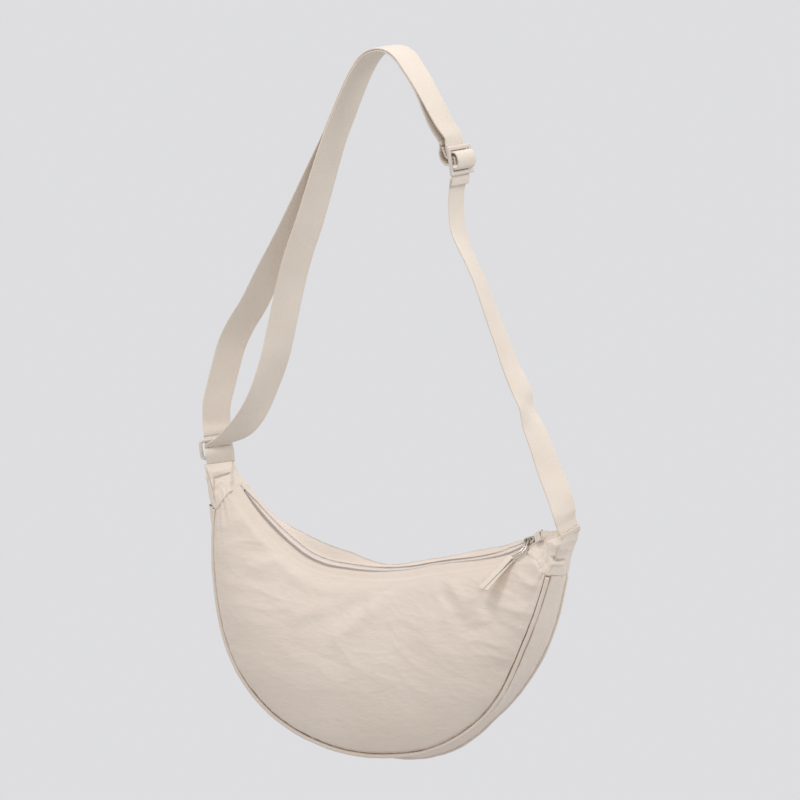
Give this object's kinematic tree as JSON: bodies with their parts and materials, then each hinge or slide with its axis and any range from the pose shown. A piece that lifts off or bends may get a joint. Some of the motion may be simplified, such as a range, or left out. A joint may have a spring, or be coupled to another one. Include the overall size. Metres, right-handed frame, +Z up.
{
  "type": "shoulder bag",
  "caption": "Crescent-shaped soft shoulder bag with a curved zipped mouth, gusset and adjustable webbing strap",
  "frame": {"origin": "the hang point: middle of the level underside of the strap at its highest place", "axes": "+X along the bag to its closed zip end, -Y towards the front panel, +Z up as it hangs"},
  "size_m": [0.3538, 0.0742, 0.6091],
  "materials": {
    "cream_nylon": "matte crinkled nylon",
    "lining": "matte woven lining",
    "zip_tape": "matte woven tape",
    "zip_plastic": "satin coil",
    "dark_metal": "dark nickel plate",
    "webbing": "ribbed webbing",
    "buckle_plastic": "satin moulded"
  },
  "bodies": {
    "bag": {"front_panel": "cream_nylon", "back_panel": "cream_nylon", "gusset": "cream_nylon", "front_seam_binding": "cream_nylon", "back_seam_binding": "cream_nylon", "lining_front": "lining", "lining_back": "lining", "lining_gusset": "lining", "slip_pocket": "lining", "zip_stop_left": "zip_tape", "zip_stop_right": "zip_tape", "left_end_tab": "cream_nylon", "right_end_tab": "cream_nylon", "strap_inner_strand": "webbing", "strap_outer_strand": "webbing", "strap_lower_strand": "webbing"},
    "mouth_front": {"zip_tape_front": "zip_tape", "zip_teeth_front": "zip_plastic"},
    "mouth_back": {"zip_tape_back": "zip_tape", "zip_teeth_back": "zip_plastic"},
    "slider": {"zip_slider": "dark_metal"},
    "pull_ring": {"zip_pull_ring": "dark_metal"},
    "pull_tab": {"zip_pull_tab": "webbing"},
    "adjuster": {"adjuster": "buckle_plastic", "strap_through_adjuster": "webbing", "strap_end_loop": "webbing"},
    "ring": {"strap_ring": "buckle_plastic", "ring_webbing_loop": "webbing"}
  },
  "joints": [
    {"name": "slider_travel", "type": "hinge", "parent": "bag", "child": "slider", "pos_m": [0.02202, -0.006, -0.22891], "axis": [0, 1, 0], "range_deg": [0, 75], "deforming": ["zip_tape_front", "zip_tape_back", "zip_teeth_front", "zip_teeth_back"]},
    {"name": "mouth_front_part", "type": "slide", "parent": "bag", "child": "mouth_front", "axis": [-0.1167, -0.7071, -0.6974], "range_m": [0, 0.0045], "deforming": ["zip_tape_front", "zip_teeth_front"]},
    {"name": "mouth_back_part", "type": "slide", "parent": "bag", "child": "mouth_back", "axis": [0.1167, 0.7071, 0.6974], "range_m": [0, 0.0045], "deforming": ["zip_tape_back", "zip_teeth_back"]},
    {"name": "pull_ring_hinge", "type": "hinge", "parent": "slider", "child": "pull_ring", "pos_m": [0.12982, -0.00706, -0.41486], "axis": [-0.8121, 0.5572, 0.1733], "range_deg": [0, 115]},
    {"name": "pull_tab_hinge", "type": "hinge", "parent": "pull_ring", "child": "pull_tab", "pos_m": [0.11881, -0.01834, -0.43021], "axis": [-0.8121, 0.5572, 0.1733], "range_deg": [0, 60]},
    {"name": "adjuster_slide", "type": "slide", "parent": "bag", "child": "adjuster", "axis": [0.0896, 0.1564, -0.9836], "range_m": [0, 0.01]},
    {"name": "ring_swing", "type": "hinge", "parent": "bag", "child": "ring", "pos_m": [-0.16632, -0.00033, -0.33158], "axis": [0.9418, 0.306, 0.1392], "range_deg": [-8, 8]}
  ],
  "couplings": [
    {"joint": "mouth_front_part", "follows": "slider_travel", "m_per_rad": 0.0034},
    {"joint": "mouth_back_part", "follows": "slider_travel", "m_per_rad": 0.0034}
  ]
}
